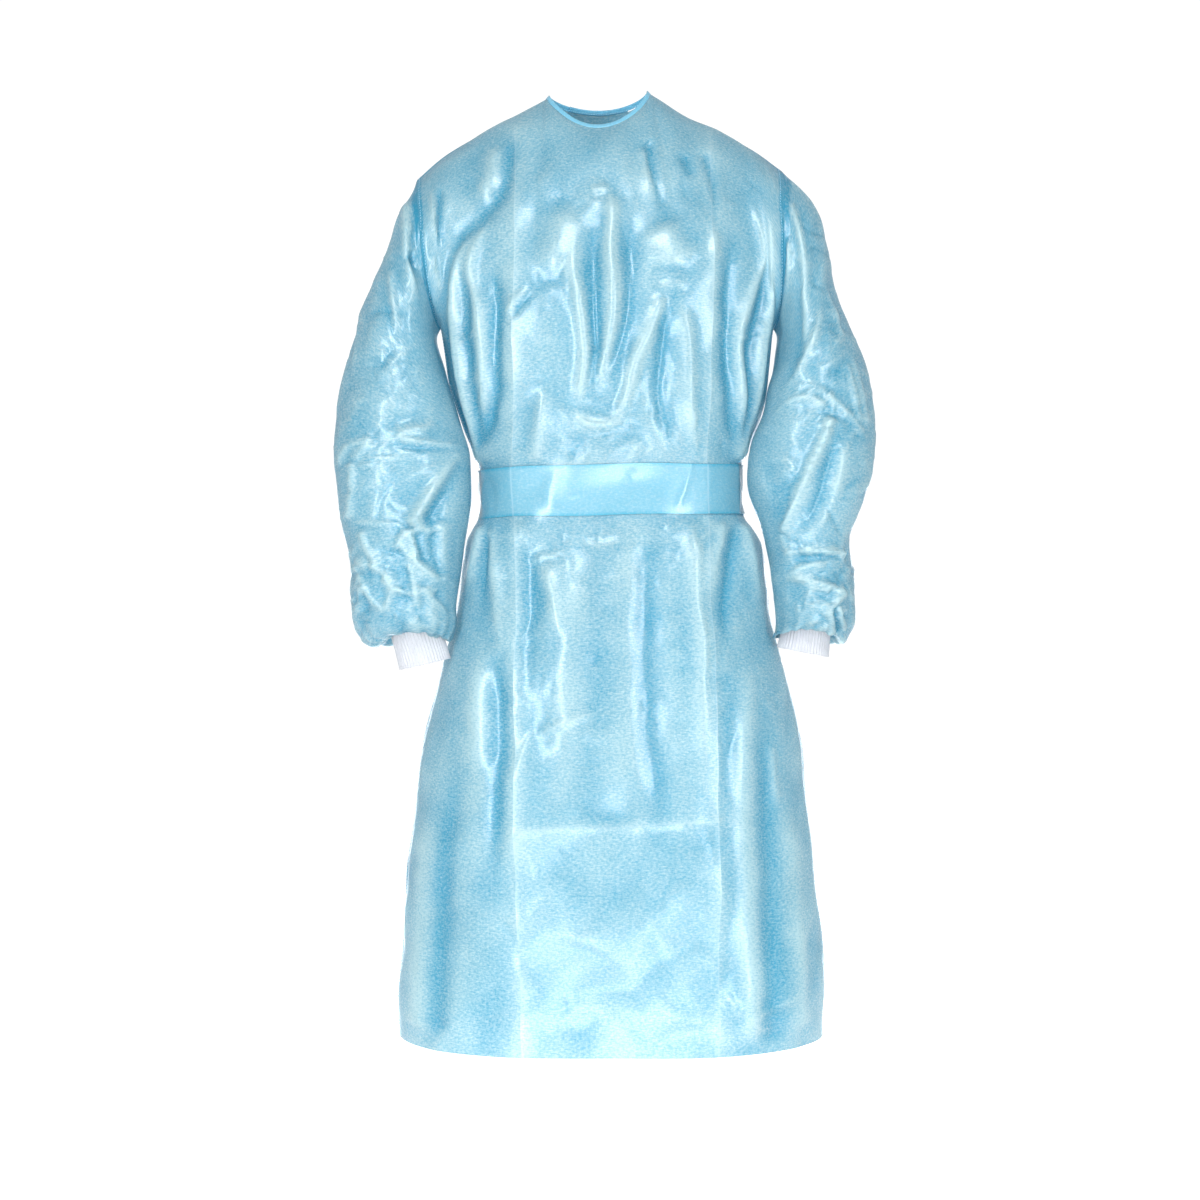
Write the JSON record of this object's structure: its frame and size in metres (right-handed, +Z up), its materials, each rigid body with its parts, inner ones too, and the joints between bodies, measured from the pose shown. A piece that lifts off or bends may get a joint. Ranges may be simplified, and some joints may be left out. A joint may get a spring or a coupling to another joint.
{
  "type": "chemotherapy gown",
  "caption": "Long-sleeved chemotherapy gown in thin pale blue coated non-woven, hollow as worn, with knitted cuffs, a round neck, a flat belt and a back opening.",
  "frame": {"origin": "middle of the line between the two shoulder seams at the neck, where the wearer's shoulders hold the gown up", "axes": "+Z up, +X towards the wearer's left side, -Y towards the front of the gown"},
  "size_m": [0.6654, 0.3327, 1.1806],
  "materials": {
    "gown_cloth": "thin translucent pale blue non-woven with a satin film",
    "belt_cloth": "the same cloth, uncoated side out",
    "binding_tape": "folded blue non-woven tape, stitched",
    "cuff_knit": "white ribbed knit",
    "hook_and_loop": "white hook-and-loop tape"
  },
  "bodies": {
    "root": {"front": "gown_cloth", "back_left": "gown_cloth", "back_right": "gown_cloth", "sleeve_left": "gown_cloth", "sleeve_right": "gown_cloth", "cuff_left": "cuff_knit", "cuff_right": "cuff_knit", "neck_binding": "binding_tape", "neck_tab": "hook_and_loop", "belt": "belt_cloth", "belt_knot": "belt_cloth", "belt_tail_left": "belt_cloth", "belt_tail_right": "belt_cloth"}
  },
  "joints": []
}
